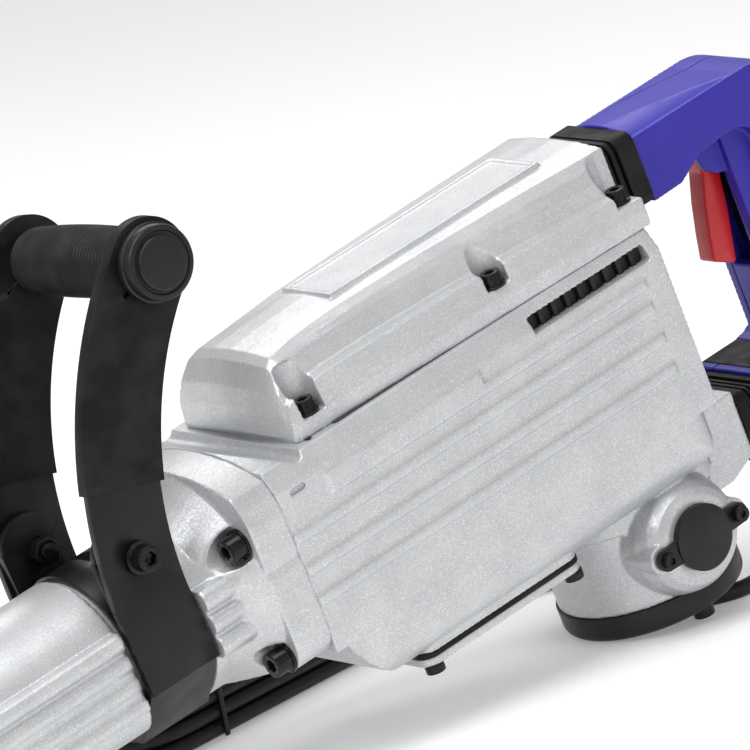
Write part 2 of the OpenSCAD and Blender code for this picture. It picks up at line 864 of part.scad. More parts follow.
module trigger() {
    color([0.78, 0.12, 0.14]) difference() {
        along_y(-6.5, 6.5) polygon([
            [326, 46], [327.5, 53], [334, 54], [338, 46], [334, 20], [327.5, -8.6], [325.4, -8.6],
            [314.7, -2.6], [317.4, 10], [321.6, 26], [326.8, 41]]);
        trigger_axis() bar_y(-10, 10, 2 + clear);
    }
}

module trigger_pin() {
    color([0.8, 0.8, 0.8]) trigger_axis() bar_y(-12.5, 12.5, 2);
}

module switch_unit() {
    color([0.15, 0.15, 0.15]) translate([347, -12, -8]) cube([24, 24, 50]);
}

module cord_guard() {
    color([0.06, 0.06, 0.06]) difference() {
        translate([330, 0, low_bottom]) rotate([0, lean, 0]) {
            bar_z(-1, 5.8, 9.9);
            mirror([0, 0, 1]) cylinder(h = 34, r1 = 9.9, r2 = 6.2);
        }
        translate([330, 0, low_bottom]) rotate([0, lean, 0]) bar_z(-40, 10, cord_d / 2);
    }
}

// ---------- side handle ----------

bend_c = [strap_x0 + strap_w / 2 + arm_bend_r, 20];    // x, z of the arms' bend
bend_a = 49.3;                    // angle of the bend, up to the grip
splay = 2.7;                      // the arms lean outwards above the bolts
arm_y = 46;                       // middle of the arm's thickness at the bolts
bolt_x = strap_x0 + strap_w / 2 + 2;
bolt_z = 45;

// Places children in the plane of the bent part of an arm
module on_arm() {
    translate([0, arm_y, bend_c[1]]) rotate([-splay, 0, 0]) translate([0, 0, -bend_c[1]]) children();
}

// A stretch of the bent arm, from one angle to another
module arm_stretch(a0, a1, thick, wide) {
    translate([bend_c[0], 0, bend_c[1]]) rotate([90, 0, 0]) rotate([0, 0, 180 - a1])
        rotate_extrude(angle = a1 - a0, $fn = 200)
            translate([arm_bend_r - wide / 2, -thick / 2]) square([wide, thick]);
}

grip_at = [bend_c[0] - arm_bend_r * cos(bend_a), bend_c[1] + arm_bend_r * sin(bend_a)];
grip_y = arm_y + (grip_at[1] - bend_c[1]) * sin(splay);
grip_z = bend_c[1] + (grip_at[1] - bend_c[1]) * cos(splay);

// Lower half of the strap, with its corners cut at 45 degrees
module strap_bottom(half, deep) {
    corner = deep * sqrt(2) - half;
    flat = deep * sqrt(2) - deep;
    polygon([[-half, 0], [-half, -corner], [-flat, -deep], [flat, -deep], [half, -corner], [half, 0]]);
}

module handle_strap() {
    color([0.12, 0.12, 0.13]) swung() difference() {
        union() {
            both_sides() {
                on_arm() arm_stretch(0, bend_a, 4, strap_w);
                on_arm() translate([grip_at[0], 0, grip_at[1]]) bar_y(-2, 2, strap_w / 2);
                along_x(strap_x0, strap_x1) translate([arm_y - 2, -18]) square([4, 38.5]);
            }
            along_x(strap_x0, strap_x1) difference() {
                strap_bottom(arm_y + 2, seat_r + 4.4);
                strap_bottom(arm_y - 2, seat_r + 0.4);
            }
        }
        translate([bolt_x, 0, bolt_z]) bar_y(-60, 60, bolt_d / 2);
        translate([grip_at[0], 0, grip_z]) bar_y(-70, 70, 6);
    }
}

module strap_saddle() {
    color([0.12, 0.12, 0.13]) swung() difference() {
        union() {
            along_x(strap_x0 + 2, strap_x1 - 4) difference() {
                union() {
                    circle(arm_y - 2.05);
                    for (s = [-1, 1]) translate([s * (arm_y - 4.05) - 2, 18]) square([4, 34]);
                }
                circle(seat_r + 0.3);
                translate([-60, -60]) square([120, 50]);
            }
            for (s = [-1, 1])
                translate([strap_x0 + strap_w / 2 - 1, s * (arm_y - 4.05), 48]) bar_y(-2, 2, 17.5);
        }
        translate([bolt_x, 0, bolt_z]) bar_y(-60, 60, bolt_d / 2);
    }
}

module clamp_bolts() {
    color([0.1, 0.1, 0.1]) swung() both_sides() translate([bolt_x, 49.7, bolt_z])
        rotate([-90, 0, 0]) socket_screw(19);
}

module clamp_nuts() {
    color([0.3, 0.3, 0.3]) swung() both_sides() difference() {
        translate([bolt_x, 39.9, bolt_z]) rotate([90, 0, 0]) cylinder(h = 7, r = 7.4, $fn = 6);
        translate([bolt_x, 0, bolt_z]) bar_y(20, 60, bolt_d / 2);
    }
}

// A bent arm with its round end, grown by a little on every side
module sleeved_arm(from, grow) {
    arm_stretch(from, bend_a, 4 + 2 * grow, strap_w + 2 * grow);
    translate([grip_at[0], 0, grip_at[1]]) bar_y(-2 - grow, 2 + grow, strap_w / 2 + grow);
}

// Rubber over the arms, round ends included
module arm_sleeves() {
    color([0.14, 0.14, 0.15]) swung() both_sides() on_arm() difference() {
        sleeved_arm(17.5, 1.5);
        sleeved_arm(17, clear);
        translate([grip_at[0], 0, grip_at[1]]) bar_y(-10, 10, 6.5);
    }
}

module grip_rod() {
    color([0.5, 0.5, 0.52]) swung() translate([grip_at[0], 0, grip_z]) bar_y(-grip_y - 10, grip_y + 10, 6);
}

module side_grip() {
    end = grip_y - 4.6;
    color([0.1, 0.1, 0.1]) swung() translate([grip_at[0], 0, grip_z]) rotate([90, 0, 0])
        rotate_extrude() polygon(concat(
            [[6, -end], [14.5, -end], [14.5, -end + 3.5]],
            [for (i = [-6:6]) [18 - 1.5 * pow(i / 6, 2), i * (end - 4.5) / 6]],
            [[14.5, end - 3.5], [14.5, end], [6, end]]));
}

module grip_caps() {
    color([0.1, 0.1, 0.1]) swung() both_sides() translate([grip_at[0], grip_y, grip_z])
        rotate([-90, 0, 0]) rotate_extrude($fn = 96) polygon([
            [0, 10.2], [6, 10.2], [6, 4.7], [18.8, 4.7], [19.3, 5.2], [19.3, 8.2], [18.4, 8.8], [18.4, 12.6],
            [17.6, 14], [15.4, 14.4], [14.8, 13.6], [13.6, 13.6], [13.4, 15.2], [12.4, 16], [0, 16]]);
}

// ---------- cord ----------
// These lie on the floor, so they are drawn in the standing frame.

hank = [40, 111];                 // middle of the hank on the floor
hank_turn = 15;                   // direction of its runs
hank_run = 150;                   // straight part of its runs
hank_r = 26;                      // smallest fold, three diameters
hank_out = hank_r + 1.5 * cord_d; // two turns beside each other
hank_h = 3 * cord_d;              // and three on top of each other
floor_z = cord_d / 2;             // middle of a cord that lies on the floor

// Route of the cord from its guard down to the floor, under the raised rear
// edge of the tail cover and round behind the motor into the hank
cord_route = [
    [327, -8.1, 40.3], [326.6, -8.3, 34], [324.4, -9, 27], [320, -10, 19.5], [313, -11.4, 12],
    [304, -13.2, 6.8], [294, -16.4, floor_z], [283, -22, floor_z], [275, -28, floor_z], [266, -31.8, floor_z],
    [257, -33, floor_z], [248, -31, floor_z], [239.5, -26, floor_z], [232.5, -18.5, floor_z],
    [228, -9, floor_z], [226.5, 2, floor_z], [228, 12.5, floor_z], [232, 22, floor_z],
    [238.5, 30.5, floor_z], [245.5, 39, floor_z], [250, 49, floor_z], [251, 60, floor_z],
    [248, 71, floor_z], [241.5, 80.5, floor_z], [232, 87.5, floor_z], [220, 92, floor_z],
    [205, 96, floor_z], [190, 99.6, floor_z], [175, 102, floor_z], [160, 103.2, floor_z],
    [145, 102, floor_z], [133, 99.8, floor_z], [121, 96.8, floor_z]
];
// and from the hank's last turn into the plug that lies inside it, along the hank
tail_route = [
    [-72, 26, floor_z], [-62, 25.6, floor_z], [-51, 23.4, floor_z], [-40, 19.2, floor_z],
    [-30, 14.4, 5], [-20, 9.2, 7.4], [-11, 5, 10.6], [-3, 2, 13.4], [4, 0.5, 14.8], [10, 0, 15], [14, 0, 15]
];

function unit(v) = v / norm(v);
function tangent(r, i) = unit(r[min(i + 1, len(r) - 1)] - r[max(i - 1, 0)]);

module swept(route, r, sides) {
    rings = [for (i = [0:len(route) - 1])
        let (t = tangent(route, i), u = unit(cross(t, [0.1, 0.2, 1])), v = cross(t, u))
        [for (k = [0:sides - 1]) route[i] + r * (cos(360 * k / sides) * u + sin(360 * k / sides) * v)]];
    n = sides;
    last = len(route) - 1;
    polyhedron(
        points = [for (q = rings, p = q) p],
        faces = concat(
            [[for (k = [0:n - 1]) k]],
            [[for (k = [n - 1:-1:0]) last * n + k]],
            [for (i = [0:last - 1], k = [0:n - 1])
                [i * n + k, (i + 1) * n + k, (i + 1) * n + (k + 1) % n, i * n + (k + 1) % n]]));
}

// Lays something out along the hank
module in_hank() {
    translate([hank[0], hank[1], 0]) rotate(hank_turn) children();
}

module hank_outline(r) {
    square([hank_run, 2 * r], center = true);
    for (s = [-1, 1]) translate([s * hank_run / 2, 0]) circle(r);
}

module cord() {
    color([0.05, 0.05, 0.05]) swept(cord_route, cord_d / 2, 10);
}

module cord_hank() {
    color([0.05, 0.05, 0.05]) in_hank() difference() {
        along_z(0, hank_h) hank_outline(hank_out);
        along_z(-1, hank_h + 1) hank_outline(hank_r - cord_d / 2);
    }
}

module cord_tail() {
    color([0.05, 0.05, 0.05]) in_hank() swept(tail_route, cord_d / 2, 10);
}

module cord_tie() {
    color([0.02, 0.02, 0.02]) in_hank() difference() {
        along_x(-49.5, -46.5) translate([-hank_out - 1.2, 0]) square([2 * hank_out + 2.4, hank_h + 1.2]);
        along_x(-51, -45) translate([-hank_out, -1]) square([2 * hank_out, hank_h + 1]);
    }
}

plug_at = [66, 0, 15];            // front face of the plug, along the hank

module plug_body() {
    color([0.06, 0.06, 0.06]) in_hank() translate(plug_at) difference() {
        union() {
            bar_x(-38, 0, 15);
            cone_x(-60, -37, 6.2, 11);
        }
        bar_x(-70, -52, cord_d / 2);
        for (s = [-1, 1]) translate([0, s * 9.5, 0]) bar_x(-12, 1, 2.4);
    }
}

module plug_pins() {
    color([0.8, 0.8, 0.8]) in_hank() translate(plug_at) for (s = [-1, 1])
        translate([0, s * 9.5, 0]) bar_x(-12, 17, 2.4);
}

stand() cylinder_case();
stand() gear_case();
stand() gear_cover();
stand() base_plate();
stand() base_gasket();
stand() tail_cover();
stand() front_cover();
stand() nose_ring();
stand() tool_sleeve();
stand() retainer_pin();
stand() retainer_lever();
stand() case_screws();
stand() cover_screws();
stand() base_screws();
stand() tail_screws();
stand() front_screws();
stand() brush_covers();
stand() brush_cover_screws();
stand() brush_holders();
stand() carbon_brushes();
stand() stator();
stand() armature();
stand() commutator();
stand() cooling_fan();
stand() motor_plate();
stand() gear_plate();
stand() idler_gear();
stand() crank_gear();
stand() ball_bearings();
stand() connecting_rod();
stand() piston();
stand() piston_pin();
stand() cylinder_liner();
stand() striker();
stand() impact_bolt();
stand() handle_shell();
stand() handle_cover();
stand() arm_wrap();
stand() upper_boot();
stand() lower_boot();
stand() lower_bracket();
stand() handle_bolts();
stand() trigger();
stand() trigger_pin();
stand() switch_unit();
stand() cord_guard();
stand() handle_strap();
stand() strap_saddle();
stand() clamp_bolts();
stand() clamp_nuts();
stand() arm_sleeves();
stand() grip_rod();
stand() side_grip();
stand() grip_caps();
cord();
cord_hank();
cord_tail();
cord_tie();
plug_body();
plug_pins();
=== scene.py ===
"""Electric demolition hammer: looks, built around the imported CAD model."""
import json
import math

import bpy
from mathutils import Matrix, Quaternion, Vector


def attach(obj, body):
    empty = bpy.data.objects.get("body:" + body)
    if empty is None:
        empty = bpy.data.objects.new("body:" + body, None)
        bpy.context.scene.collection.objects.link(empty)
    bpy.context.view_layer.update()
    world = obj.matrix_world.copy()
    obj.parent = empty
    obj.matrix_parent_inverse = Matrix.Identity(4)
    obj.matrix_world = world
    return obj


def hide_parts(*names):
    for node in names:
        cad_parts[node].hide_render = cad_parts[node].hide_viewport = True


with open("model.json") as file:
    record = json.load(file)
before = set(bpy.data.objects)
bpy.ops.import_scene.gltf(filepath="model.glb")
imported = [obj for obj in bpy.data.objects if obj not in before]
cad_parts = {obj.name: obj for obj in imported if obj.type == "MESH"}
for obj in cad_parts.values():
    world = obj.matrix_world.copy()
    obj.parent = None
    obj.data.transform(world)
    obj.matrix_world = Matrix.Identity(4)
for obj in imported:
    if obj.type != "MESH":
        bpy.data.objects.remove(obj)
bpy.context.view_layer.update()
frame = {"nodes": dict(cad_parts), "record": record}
NODES = frame["nodes"]
MM = 0.001

# ---------------------------------------------------------------- places, in millimetres
# The tool frame has X along the barrel axis towards the rear handle and Z towards the gear
# cover. The tool leans nose down, so that it stands on its nose ring and its tail cover.
NOSE_REACH, NOSE_R = 360, 33
TAIL_DEPTH, TAIL_FRONT = 139.6, 167.3
FOOT_R = 4                        # edge radius of the two places that it stands on
LEAN = math.atan((TAIL_DEPTH - NOSE_R) / (TAIL_FRONT + NOSE_REACH))
DROP = FOOT_R + (TAIL_DEPTH - FOOT_R) * math.cos(LEAN) - (TAIL_FRONT + FOOT_R) * math.sin(LEAN)
SHIFT = Vector((15.4, 8.1, 0))    # puts the middle of the standing outline at the origin
CORD_D = 8.4
HANK, HANK_TURN, HANK_RUN, HANK_R = Vector((40, 111, 0)), math.radians(15), 150, 26

TOOL = (Matrix.Scale(MM, 4) @ Matrix.Translation(Vector((0, 0, DROP)) - SHIFT)
        @ Matrix.Rotation(-LEAN, 4, "Y"))
SWING = math.radians(4)           # how far the side handle is swung at rest
GRIP_X, GRIP_Z, GRIP_HALF = -6.66, 167.67, 48.36
IN_GRIP = TOOL @ Matrix.Rotation(-SWING, 4, "X") @ Matrix.Translation((GRIP_X, 0, GRIP_Z))
IN_HANK = Matrix.Scale(MM, 4) @ Matrix.Translation(HANK) @ Matrix.Rotation(HANK_TURN, 4, "Z")
TOOL_MIDDLE = Vector((0.05, 0, 0.12))     # in metres, and what the lights point at


def mesh_object(name, points, faces):
    """A mesh object from points in metres and faces, linked to the scene."""
    mesh = bpy.data.meshes.new(name)
    mesh.from_pydata(points, [], faces)
    mesh.update()
    made = bpy.data.objects.new(name, mesh)
    bpy.context.scene.collection.objects.link(made)
    return made


# ---------------------------------------------------------------- camera and lights
def direction(azimuth, elevation):
    """The unit vector that points that way from the tool."""
    a, e = math.radians(azimuth), math.radians(elevation)
    return Vector((math.sin(a) * math.cos(e), -math.cos(a) * math.cos(e), math.sin(e)))


def place(data, back, target, distance, roll=0):
    """An object for a camera or light, looking at the target from that direction and distance."""
    placed = bpy.data.objects.new(data.name, data)
    placed.rotation_mode = "QUATERNION"
    facing = (-back).to_track_quat("-Z", "Y")
    placed.rotation_quaternion = facing @ Quaternion((0, 0, 1), math.radians(roll))
    placed.location = target + back * distance
    bpy.context.scene.collection.objects.link(placed)
    return placed


def look_from(azimuth, elevation, roll, target, distance, lens):
    """A camera at that angle and distance from the target, rolled about its own axis."""
    data = bpy.data.cameras.new("camera")
    data.lens = lens
    data.sensor_width = 36
    data.clip_end = 100
    camera = place(data, direction(azimuth, elevation), target, distance, roll)
    bpy.context.scene.camera = camera


def area_light(name, azimuth, elevation, distance, size, watts):
    """A rectangular softbox that faces the middle of the tool."""
    light = bpy.data.lights.new(name, "AREA")
    light.shape = "RECTANGLE"
    light.size, light.size_y = size
    light.energy = watts
    place(light, direction(azimuth, elevation), TOOL_MIDDLE, distance)


look_from(azimuth=-33.46, elevation=13.52, roll=-11.41,
          target=Vector((61.35, -44.12, 177.32)) * MM, distance=4.0, lens=399.4)

# ---------------------------------------------------------------- cord
FLOOR_Z = CORD_D / 2
# The cord's route: from the cord guard, under the tool and round to the hank
LEAD = [
    (327, -8.1, 40.3), (326.6, -8.3, 34), (324.4, -9, 27), (320, -10, 19.5), (313, -11.4, 12),
    (304, -13.2, 6.8), (294, -16.4, FLOOR_Z), (283, -22, FLOOR_Z), (275, -28, FLOOR_Z),
    (266, -31.8, FLOOR_Z), (257, -33, FLOOR_Z), (248, -31, FLOOR_Z), (239.5, -26, FLOOR_Z),
    (232.5, -18.5, FLOOR_Z), (228, -9, FLOOR_Z), (226.5, 2, FLOOR_Z), (228, 12.5, FLOOR_Z),
    (232, 22, FLOOR_Z), (238.5, 30.5, FLOOR_Z), (245.5, 39, FLOOR_Z), (250, 49, FLOOR_Z),
    (251, 60, FLOOR_Z), (248, 71, FLOOR_Z), (241.5, 80.5, FLOOR_Z), (232, 87.5, FLOOR_Z),
    (220, 92, FLOOR_Z), (205, 96, FLOOR_Z), (190, 99.6, FLOOR_Z), (175, 102, FLOOR_Z),
    (160, 103.2, FLOOR_Z), (145, 102, FLOOR_Z), (133, 99.8, FLOOR_Z), (121, 96.8, FLOOR_Z)]
# From the hank to the plug, in the hank's own frame
TAIL = [
    (-72, 26, FLOOR_Z), (-62, 25.6, FLOOR_Z), (-51, 23.4, FLOOR_Z), (-40, 19.2, FLOOR_Z),
    (-30, 14.4, 5), (-20, 9.2, 7.4), (-11, 5, 10.6), (-3, 2, 13.4), (4, 0.5, 14.8),
    (10, 0, 15), (14, 0, 15)]


def smooth_step(t):
    """Goes from 0 to 1 as t does, level at both ends."""
    t = min(1.0, max(0.0, t))
    return t * t * (3 - 2 * t)


# How many parts the hank's runs and folds have, the share of the far run on which a turn moves
# over, and the latest share at which one starts to, which is the first turn's
NEAR_PARTS, FAR_PARTS, FOLD_PARTS = 6, 12, 12
MOVE_OVER, LATEST_START = 0.6, 0.256
FOLD = [math.pi * i / FOLD_PARTS for i in range(FOLD_PARTS)]


def hank_turns():
    """The hank's turns in its own frame: up through the outer lane, back down through the inner one."""
    lanes = [(1, 0), (1, 1), (1, 2), (0, 2), (0, 1), (0, 0)]
    spots = [(HANK_R + lane * CORD_D, FLOOR_Z + level * CORD_D) for lane, level in lanes]
    half = HANK_RUN / 2
    points = []
    for k, (r, z) in enumerate(spots):
        # the near run, towards the nose
        points += [(half - HANK_RUN * i / NEAR_PARTS, -r, z) for i in range(NEAR_PARTS)]
        points += [(-half - r * math.sin(a), -r * math.cos(a), z) for a in FOLD]
        if k + 1 == len(spots):
            points += [(-half, r, z)]
            break
        # the far run, on which this turn moves over into the next lane, the later turns first
        next_r, next_z = spots[k + 1]
        start = LATEST_START * (len(spots) - 2 - k) / (len(spots) - 2)
        for i in range(FAR_PARTS):
            t = i / FAR_PARTS
            s = smooth_step((t - start) / MOVE_OVER)
            points.append((-half + HANK_RUN * t, r + (next_r - r) * s, z + (next_z - z) * s))
        points += [(half + next_r * math.sin(a), next_r * math.cos(a), next_z) for a in FOLD]
    return points


def resampled(points, parts):
    """A smooth line through the points, by Catmull-Rom, with that many parts between two of them."""
    line = []
    for i in range(len(points) - 1):
        before, here = points[max(i - 1, 0)], points[i]
        there, after = points[i + 1], points[min(i + 2, len(points) - 1)]
        for k in range(parts):
            t = k / parts
            line.append(0.5 * ((2 * here) + (there - before) * t
                               + (2 * before - 5 * here + 4 * there - after) * t * t
                               + (3 * here - before - 3 * there + after) * t ** 3))
    return line + [points[-1]]


def tube(name, points, radius, rings=5):
    """A curve object along the points, with a round section."""
    curve = bpy.data.curves.new(name, "CURVE")
    curve.dimensions = "3D"
    curve.bevel_depth = 1
    curve.bevel_resolution = rings
    curve.use_fill_caps = True
    spline = curve.splines.new("POLY")
    spline.points.add(len(points) - 1)
    for at, point in zip(spline.points, points):
        at.co = (*point, 1)
        at.radius = radius
    spline.use_smooth = True
    made = bpy.data.objects.new(name, curve)
    bpy.context.scene.collection.objects.link(made)
    return made


cord_points = [Vector(p) * MM for p in LEAD]
cord_points += [IN_HANK @ Vector(p) for p in hank_turns()[1:]]
cord_points += [IN_HANK @ Vector(p) for p in TAIL]
cord_line = resampled(cord_points, 4)
cord = tube("mains_cord", cord_line, CORD_D / 2 * MM)
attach(cord, "housing")
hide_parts("cord", "cord_hank", "cord_tail")


# ---------------------------------------------------------------- side grip
def turned(name, profile, matrix, sides=72):
    """A piece turned about its own Y axis, from (radius, y) points, closed at both ends."""
    points, faces = [], []
    for r, y in profile:
        for k in range(sides):
            a = 2 * math.pi * k / sides
            points.append(matrix @ Vector((r * math.cos(a), y, r * math.sin(a))))
    for i in range(len(profile) - 1):
        for k in range(sides):
            n = (k + 1) % sides
            faces.append((i * sides + k, i * sides + n, (i + 1) * sides + n, (i + 1) * sides + k))
    last = (len(profile) - 1) * sides
    faces.append(tuple(reversed(range(sides))))
    faces.append(tuple(last + k for k in range(sides)))
    return mesh_object(name, points, faces)


def grip_profile():
    """The grip's swelling barrel with fine ribs all round, between two plain end collars."""
    rod_r, edge_r, collar_r, middle_r = 6.5, 14.2, 14.6, 17.6
    collar, end_taper, rib_depth = 5, 1.5, 0.42
    steps, pitch = 6, 2.7
    ribbed = GRIP_HALF - collar
    count = int(2 * ribbed / pitch) * steps
    profile = [(rod_r, -GRIP_HALF), (edge_r, -GRIP_HALF), (collar_r, -GRIP_HALF + 0.5),
               (collar_r, -GRIP_HALF + 3.5)]
    for i in range(count + 1):
        y = -ribbed + 2 * ribbed * i / count
        swell = middle_r - end_taper * (y / ribbed) ** 2
        profile.append((swell - rib_depth * (1 - math.cos(2 * math.pi * i / steps)), y))
    return profile + [(collar_r, GRIP_HALF - 3.5), (collar_r, GRIP_HALF - 0.5),
                      (edge_r, GRIP_HALF), (rod_r, GRIP_HALF)]


ribbed_grip = turned("ribbed_grip", grip_profile(), IN_GRIP)
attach(ribbed_grip, "side_handle")
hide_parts("side_grip")

# ---------------------------------------------------------------- cover joint
# The joint between gear case and gear cover: x and half width along it
SEAM = [(29.5, 45.5), (60, 48), (92, 49.2), (142, 51.2), (200, 53), (249, 54.5)]
SEAM_Z = 54


def joint_band(inset=1.0, low=SEAM_Z - 3, high=SEAM_Z + 3):
    """A band just inside the joint, so that its soft edges close on metal, not on the dark inside."""
    near = [(x, -w + inset) for x, w in SEAM]
    ring = near + [(x, -y) for x, y in reversed(near)]
    inner = [(x + (4 if x < 100 else -4), y * 0.92) for x, y in ring]
    points = [TOOL @ Vector((x, y, z)) for line in (ring, inner) for z in (low, high) for x, y in line]
    n = len(ring)
    faces = []
    for i in range(n):
        j = (i + 1) % n
        faces += [(i, j, n + j, n + i), (2 * n + j, 2 * n + i, 3 * n + i, 3 * n + j),
                  (n + i, n + j, 3 * n + j, 3 * n + i), (j, i, 2 * n + i, 2 * n + j)]
    return mesh_object("joint_band", points, faces)


band = joint_band()
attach(band, "housing")


# ---------------------------------------------------------------- air slots, with painted shade in them
SLOT_X, SLOT_Z = (168, 245), (40, 48.5)
PLATE_Y, FIN_Y = (51.6, 53.2), (52.8, 55.6)
FINS, FIN_STEP = 8, 8.6
BOX_FACES = [(0, 1, 3, 2), (4, 6, 7, 5), (0, 4, 5, 1), (2, 3, 7, 6), (0, 2, 6, 4), (1, 5, 7, 3)]


def boxes(name, corner_pairs):
    """One mesh of boxes, each from its low to its high corner in the tool frame."""
    points, faces = [], []
    for low, high in corner_pairs:
        first = len(points)
        points += [TOOL @ Vector((x, y, z)) for x in (low[0], high[0]) for y in (low[1], high[1])
                   for z in (low[2], high[2])]
        faces += [tuple(first + k for k in face) for face in BOX_FACES]
    return mesh_object(name, points, faces)


def painted_slot_shade(side):
    """Painted shade in an air slot: a dark back plate, and a dark fin round each of the casting's own
    fins, where there is only shade.
    """
    def pair(x0, x1, ys, grow):
        near, far = sorted(side * y for y in ys)
        return (x0, near, SLOT_Z[0] - grow), (x1, far, SLOT_Z[1] + grow)
    plate = pair(SLOT_X[0] - 1, SLOT_X[1] + 1, PLATE_Y, 1.8)
    fins = [pair(x - 0.3, x + 2.3, FIN_Y, 0.6)
            for x in (SLOT_X[0] + i * FIN_STEP for i in range(1, FINS + 1))]
    return [plate] + fins


# dark boxes that paint the shade in the air slots and over the casting's silver fins
slot_shade_boxes = boxes("air_slot_painted_shade", painted_slot_shade(-1) + painted_slot_shade(1))
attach(slot_shade_boxes, "housing")


# ---------------------------------------------------------------- materials
class Shader:
    """A node-based material, built up step by step around one Principled shader."""

    def __init__(self, name, colour, rough, metal=0.0, **sockets):
        self.material = bpy.data.materials.new(name)
        self.material.use_nodes = True
        self.nodes = self.material.node_tree.nodes
        self.links = self.material.node_tree.links
        self.bsdf = self.nodes["Principled BSDF"]
        self.coords = self.nodes.new("ShaderNodeTexCoord").outputs["Object"]
        self.height = None
        self.bsdf.inputs["Base Color"].default_value = (*colour, 1)
        self.bsdf.inputs["Roughness"].default_value = rough
        self.bsdf.inputs["Metallic"].default_value = metal
        for key, value in sockets.items():
            self.bsdf.inputs[key.replace("_", " ")].default_value = value

    def noise(self, size_mm, detail=2.0, stretch=(1, 1, 1), rough=0.5):
        """Noise whose features are about that large; stretch makes them longer along an axis."""
        mapping = self.nodes.new("ShaderNodeMapping")
        mapping.inputs["Scale"].default_value = [1 / (k * size_mm * MM) for k in stretch]
        self.links.new(self.coords, mapping.inputs["Vector"])
        noise = self.nodes.new("ShaderNodeTexNoise")
        noise.inputs["Scale"].default_value = 1
        noise.inputs["Detail"].default_value = detail
        noise.inputs["Roughness"].default_value = rough
        self.links.new(mapping.outputs["Vector"], noise.inputs["Vector"])
        return noise.outputs["Fac"]

    def flakes(self, size_mm):
        """A different grey for each small cell."""
        mapping = self.nodes.new("ShaderNodeMapping")
        mapping.inputs["Scale"].default_value = [1 / (size_mm * MM)] * 3
        self.links.new(self.coords, mapping.inputs["Vector"])
        cells = self.nodes.new("ShaderNodeTexVoronoi")
        cells.inputs["Scale"].default_value = 1
        self.links.new(mapping.outputs["Vector"], cells.inputs["Vector"])
        grey = self.nodes.new("ShaderNodeSeparateColor")
        self.links.new(cells.outputs["Color"], grey.inputs["Color"])
        return grey.outputs["Red"]

    def ramp(self, value, stops):
        """Maps a value to colours or, with single numbers, to greys."""
        ramp = self.nodes.new("ShaderNodeValToRGB")
        points = ramp.color_ramp.elements
        while len(points) < len(stops):
            points.new(0.5)
        for point, (at, colour) in zip(points, stops):
            point.position = at
            point.color = (*([colour] * 3 if isinstance(colour, (int, float)) else colour), 1)
        self.links.new(value, ramp.inputs["Fac"])
        return ramp.outputs["Color"]

    def span(self, value, low, high, at=(0.3, 0.7)):
        """Maps a noise value to the numbers from low to high."""
        span = self.nodes.new("ShaderNodeMapRange")
        span.inputs["From Min"].default_value, span.inputs["From Max"].default_value = at
        span.inputs["To Min"].default_value, span.inputs["To Max"].default_value = low, high
        self.links.new(value, span.inputs["Value"])
        return span.outputs["Result"]

    def bump(self, value, depth_mm):
        """Adds a fine relief of about that depth."""
        bump = self.nodes.new("ShaderNodeBump")
        bump.inputs["Strength"].default_value = 1
        bump.inputs["Distance"].default_value = depth_mm * MM
        self.links.new(value, bump.inputs["Height"])
        if self.height is not None:
            self.links.new(self.height, bump.inputs["Normal"])
        self.height = bump.outputs["Normal"]
        self.links.new(self.height, self.bsdf.inputs["Normal"])
        return self

    def mix(self, factor, a, b):
        """Mixes colour a with colour b by the factor, and takes sockets, numbers or colours."""
        mix = self.nodes.new("ShaderNodeMix")
        mix.data_type = "RGBA"
        for key, value in (("Factor", factor), ("A", a), ("B", b)):
            socket = mix.inputs[key]
            if isinstance(value, bpy.types.NodeSocket):
                self.links.new(value, socket)
            elif isinstance(value, (int, float)):
                socket.default_value = value
            else:
                socket.default_value = (*value, 1)
        return mix.outputs["Result"]

    def link(self, value, socket):
        """Drives that socket of the shader."""
        self.links.new(value, self.bsdf.inputs[socket])
        return self


def cast_silver():
    """Sand-grained aluminium casting under a silver paint with fine flakes."""
    s = Shader("cast_silver", (0.6, 0.61, 0.62), 0.4, 0.55)
    grain = s.noise(0.8, 3, rough=0.65)
    flake = s.flakes(0.42)
    tone = s.ramp(s.noise(22, 2), [(0.3, (0.54, 0.55, 0.565)), (0.7, (0.61, 0.62, 0.63))])
    tone = s.mix(s.span(flake, 0, 0.55, (0.8, 1.0)), tone, (0.95, 0.96, 0.97))
    tone = s.mix(s.span(flake, 0.4, 0, (0.0, 0.25)), tone, (0.36, 0.37, 0.39))
    tone = s.mix(s.span(grain, 0.16, 0, (0.3, 0.5)), tone, (0.3, 0.31, 0.33))
    s.link(tone, "Base Color")
    s.link(s.span(flake, 0.5, 0.3), "Roughness")
    return s.bump(grain, 0.09).bump(s.noise(5, 2), 0.05).material


def black_paint():
    """Satin black powder coat on steel, with a faint orange-peel surface."""
    s = Shader("black_paint", (0.004, 0.004, 0.005), 0.34, 0.0, Specular_IOR_Level=0.3)
    s.link(s.span(s.noise(14, 3), 0.27, 0.42), "Roughness")
    tone = s.ramp(s.noise(20, 2), [(0.3, (0.003, 0.003, 0.004)), (0.7, (0.006, 0.006, 0.007))])
    s.link(tone, "Base Color")
    return s.bump(s.noise(1.6, 2), 0.012).material


def black_oxide():
    """Oiled black-oxide steel of the socket screws."""
    s = Shader("black_oxide", (0.012, 0.012, 0.014), 0.24, 0.6)
    s.link(s.span(s.noise(1.2, 3), 0.18, 0.34), "Roughness")
    tone = s.ramp(s.noise(2, 2), [(0.3, (0.009, 0.009, 0.011)), (0.7, (0.018, 0.018, 0.02))])
    s.link(tone, "Base Color")
    return s.bump(s.noise(0.6, 2), 0.01).material


def rubber(name="black_rubber", tone=0.0065, rough=0.55):
    """Matte moulded rubber with a faint cloudy bloom."""
    s = Shader(name, (tone, tone, tone), rough, 0.0, Specular_IOR_Level=0.2)
    s.link(s.span(s.noise(9, 3), rough - 0.12, rough + 0.1), "Roughness")
    s.link(s.ramp(s.noise(16, 4), [(0.35, tone * 0.6), (0.65, tone * 2)]), "Base Color")
    return s.bump(s.noise(0.5, 2), 0.02).material


